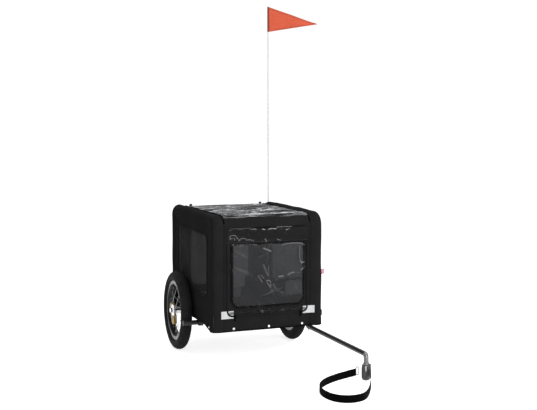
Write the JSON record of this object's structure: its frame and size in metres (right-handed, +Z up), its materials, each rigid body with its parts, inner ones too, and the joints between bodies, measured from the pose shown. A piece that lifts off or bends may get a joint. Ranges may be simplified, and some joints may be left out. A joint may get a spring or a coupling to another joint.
{
  "type": "dog bike trailer",
  "caption": "Two-wheeled fabric pet trailer with roll-up mesh doors, clear roof, spoked wheels, offset folding drawbar with swivel coupler, safety strap and flag.",
  "frame": {"origin": "centre of the hitch socket's mouth under the coupler, on the ground", "axes": "+Z up; the trailer faces -Y, towards the bicycle; +X is the trailer's own left side"},
  "size_m": [0.6923, 1.1273, 1.357],
  "materials": {
    "frame_tube": "satin",
    "drawbar_tube": "gloss",
    "steel_parts": "satin",
    "black_plastic": "matte",
    "coupler_plastic": "matte",
    "board": "matte",
    "mat": "woven",
    "cabin_fabric": "woven, slightly shiny",
    "mesh": "net",
    "clear_film": "clear, crumpled",
    "axle_steel": "satin",
    "tyre": "matte",
    "rim": "satin",
    "hub": "polished",
    "spokes": "satin",
    "reflector": "gloss",
    "webbing": "woven",
    "flag_cloth": "woven",
    "pole": "gloss"
  },
  "bodies": {
    "chassis": {"base_frame": "frame_tube", "side_hoop_left": "frame_tube", "side_hoop_right": "frame_tube", "roof_bars": "frame_tube", "side_brace_left": "frame_tube", "side_brace_right": "frame_tube", "corner_connectors": "black_plastic", "floor_panel": "board", "floor_mat": "mat", "front_panel": "cabin_fabric", "rear_panel": "cabin_fabric", "side_panel_left": "cabin_fabric", "side_panel_right": "cabin_fabric", "side_mesh_left": "mesh", "side_mesh_right": "mesh", "roof_panel": "cabin_fabric", "roof_window": "clear_film", "wheel_knuckle_left": "black_plastic", "wheel_knuckle_right": "black_plastic", "axle_left": "axle_steel", "axle_right": "axle_steel", "tow_beam": "frame_tube", "beam_caps": "steel_parts", "beam_clamps": "steel_parts", "drawbar_bracket": "steel_parts", "pivot_bolt": "steel_parts", "pivot_knob": "black_plastic", "flag_holder": "black_plastic", "flag_pole": "pole", "flag": "flag_cloth"},
    "front_door": {"front_door": "cabin_fabric", "front_window": "mesh", "rain_cover": "clear_film"},
    "rear_door": {"rear_door": "cabin_fabric", "rear_window": "mesh"},
    "wheel_left": {"tyre_left": "tyre", "rim_left": "rim", "hub_left": "hub", "spokes_left": "spokes", "reflector_left": "reflector"},
    "wheel_right": {"tyre_right": "tyre", "rim_right": "rim", "hub_right": "hub", "spokes_right": "spokes", "reflector_right": "reflector"},
    "drawbar": {"drawbar": "drawbar_tube", "strap_collar": "steel_parts", "strap": "webbing", "strap_ring": "steel_parts"},
    "coupler": {"coupler": "coupler_plastic"}
  },
  "joints": [
    {"name": "wheel_left_spin", "type": "hinge", "parent": "chassis", "child": "wheel_left", "pos_m": [0.0015, 0.709, 0.15], "axis": [1, 0, 0], "continuous": true},
    {"name": "wheel_right_spin", "type": "hinge", "parent": "chassis", "child": "wheel_right", "pos_m": [-0.4675, 0.709, 0.15], "axis": [1, 0, 0], "continuous": true},
    {"name": "front_door_open", "type": "hinge", "parent": "chassis", "child": "front_door", "pos_m": [-0.233, 0.335, 0.498], "axis": [-1, 0, 0], "range_deg": [0, 105]},
    {"name": "rear_door_open", "type": "hinge", "parent": "chassis", "child": "rear_door", "pos_m": [-0.233, 0.873, 0.498], "axis": [1, 0, 0], "range_deg": [0, 105]},
    {"name": "drawbar_swing", "type": "hinge", "parent": "chassis", "child": "drawbar", "pos_m": [0, 0.508, 0.087], "axis": [0, 0, -1], "range_deg": [0, 90]},
    {"name": "coupler_swivel", "type": "hinge", "parent": "drawbar", "child": "coupler", "pos_m": [0, 0, 0.04], "axis": [0, 0, 1], "continuous": true}
  ]
}
